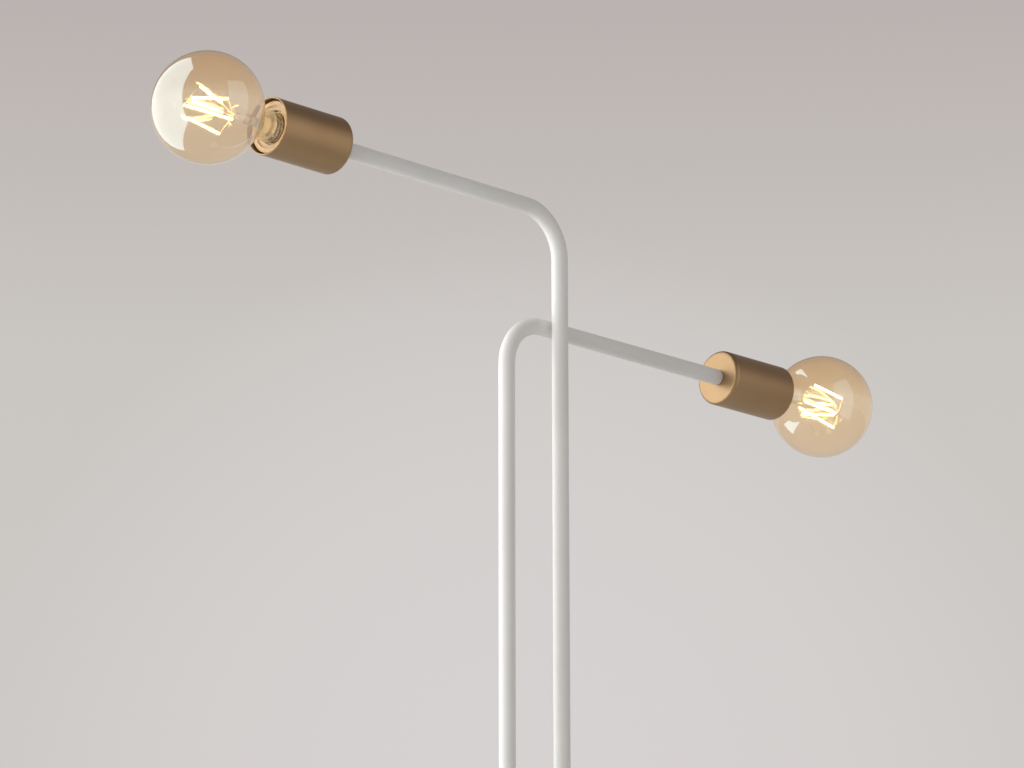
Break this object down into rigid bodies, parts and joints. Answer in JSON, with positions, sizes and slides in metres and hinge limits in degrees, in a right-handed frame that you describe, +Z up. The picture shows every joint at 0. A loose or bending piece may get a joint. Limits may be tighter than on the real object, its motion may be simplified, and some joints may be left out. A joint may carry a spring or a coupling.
{
  "type": "two-arm floor lamp",
  "caption": "Free-standing floor lamp: parallel poles on a round weighted base, each bent over into a level arm with a cup-shaped lampholder and a large globe bulb.",
  "frame": {"origin": "middle of the base's underside, on the floor", "axes": "+Z up along the poles, +X along the lower arm towards its bulb, -X along the upper arm, +Y to the back, where the cord gland is"},
  "size_m": [0.87, 0.2816, 1.5475],
  "materials": {
    "white_paint": "smooth satin white paint",
    "base_paint": "satin white powder coat, faint orange peel",
    "gold_paint": "satin gold-bronze metallic lacquer, dark inside",
    "zinc_steel": "bright zinc plate",
    "steel_plate": "black stove enamel",
    "cast_weight": "rough as cast",
    "base_rubber": "matt, fine grained",
    "dark_plastic": "fine spark-eroded grain",
    "block_plastic": "natural nylon",
    "lead_sheath": "smooth soft sheath",
    "cream_plastic": "smooth, semi-gloss",
    "core_ceramic": "unglazed white",
    "contact_brass": "rolled, bright",
    "amber_glass": "clear amber, polished",
    "clear_glass": "clear, fire polished",
    "cap_nickel": "nickel-plated, rolled thread",
    "black_glass": "black fused insulator",
    "driver_board": "green solder mask",
    "filament_coat": "translucent phosphor resin",
    "support_wire": "bright drawn wire"
  },
  "bodies": {
    "root": {"base_cover": "base_paint", "base_pad": "base_rubber", "base_plate": "steel_plate", "base_plate_screws": "zinc_steel", "base_weight": "cast_weight", "cord_gland": "dark_plastic", "cord_gland_nut": "dark_plastic", "holder_nuts": "zinc_steel", "lower_arm_tube": "white_paint", "lower_foot_nipple": "zinc_steel", "lower_holder_body": "cream_plastic", "lower_holder_contact": "contact_brass", "lower_holder_core": "core_ceramic", "lower_holder_cover": "gold_paint", "lower_holder_dome": "cream_plastic", "lower_holder_nipple": "zinc_steel", "lower_holder_shell": "contact_brass", "lower_holder_terminals": "contact_brass", "lower_joint_stud": "zinc_steel", "lower_lead": "lead_sheath", "lower_pole_tube": "white_paint", "lower_terminal_screws": "zinc_steel", "lower_tube_bushes": "zinc_steel", "pole_collars": "white_paint", "pole_foot_nuts": "zinc_steel", "pole_foot_washers": "zinc_steel", "terminal_block": "block_plastic", "terminal_block_screws": "zinc_steel", "upper_arm_tube": "white_paint", "upper_foot_nipple": "zinc_steel", "upper_holder_body": "cream_plastic", "upper_holder_contact": "contact_brass", "upper_holder_core": "core_ceramic", "upper_holder_cover": "gold_paint", "upper_holder_dome": "cream_plastic", "upper_holder_nipple": "zinc_steel", "upper_holder_shell": "contact_brass", "upper_holder_terminals": "contact_brass", "upper_joint_stud": "zinc_steel", "upper_lead": "lead_sheath", "upper_pole_tube": "white_paint", "upper_terminal_screws": "zinc_steel", "upper_tube_bushes": "zinc_steel"},
    "upper_bulb_tip": {"upper_bulb_tip": "cap_nickel"},
    "upper_bulb": {"upper_bulb_glass": "amber_glass", "upper_bulb_cap": "cap_nickel", "upper_bulb_insulator": "black_glass", "upper_bulb_driver": "driver_board", "upper_bulb_stem": "clear_glass", "upper_bulb_filaments": "filament_coat", "upper_bulb_wires": "support_wire"},
    "lower_bulb_tip": {"lower_bulb_tip": "cap_nickel"},
    "lower_bulb": {"lower_bulb_glass": "amber_glass", "lower_bulb_cap": "cap_nickel", "lower_bulb_insulator": "black_glass", "lower_bulb_driver": "driver_board", "lower_bulb_stem": "clear_glass", "lower_bulb_filaments": "filament_coat", "lower_bulb_wires": "support_wire"}
  },
  "joints": [
    {"name": "upper_bulb_draw", "type": "slide", "parent": "root", "child": "upper_bulb_tip", "axis": [-1, 0, 0], "range_m": [0, 0.0236]},
    {"name": "upper_bulb_turn", "type": "hinge", "parent": "upper_bulb_tip", "child": "upper_bulb", "pos_m": [-0.295, -0.0075, 1.5], "axis": [-1, 0, 0], "range_deg": [0, 2340]},
    {"name": "lower_bulb_draw", "type": "slide", "parent": "root", "child": "lower_bulb_tip", "axis": [1, 0, 0], "range_m": [0, 0.0236]},
    {"name": "lower_bulb_turn", "type": "hinge", "parent": "lower_bulb_tip", "child": "lower_bulb", "pos_m": [0.295, 0.0075, 1.398], "axis": [1, 0, 0], "range_deg": [0, 2340]}
  ],
  "couplings": [
    {"joint": "upper_bulb_draw", "follows": "upper_bulb_turn", "m_per_rad": 0.00057757},
    {"joint": "lower_bulb_draw", "follows": "lower_bulb_turn", "m_per_rad": 0.00057757}
  ]
}
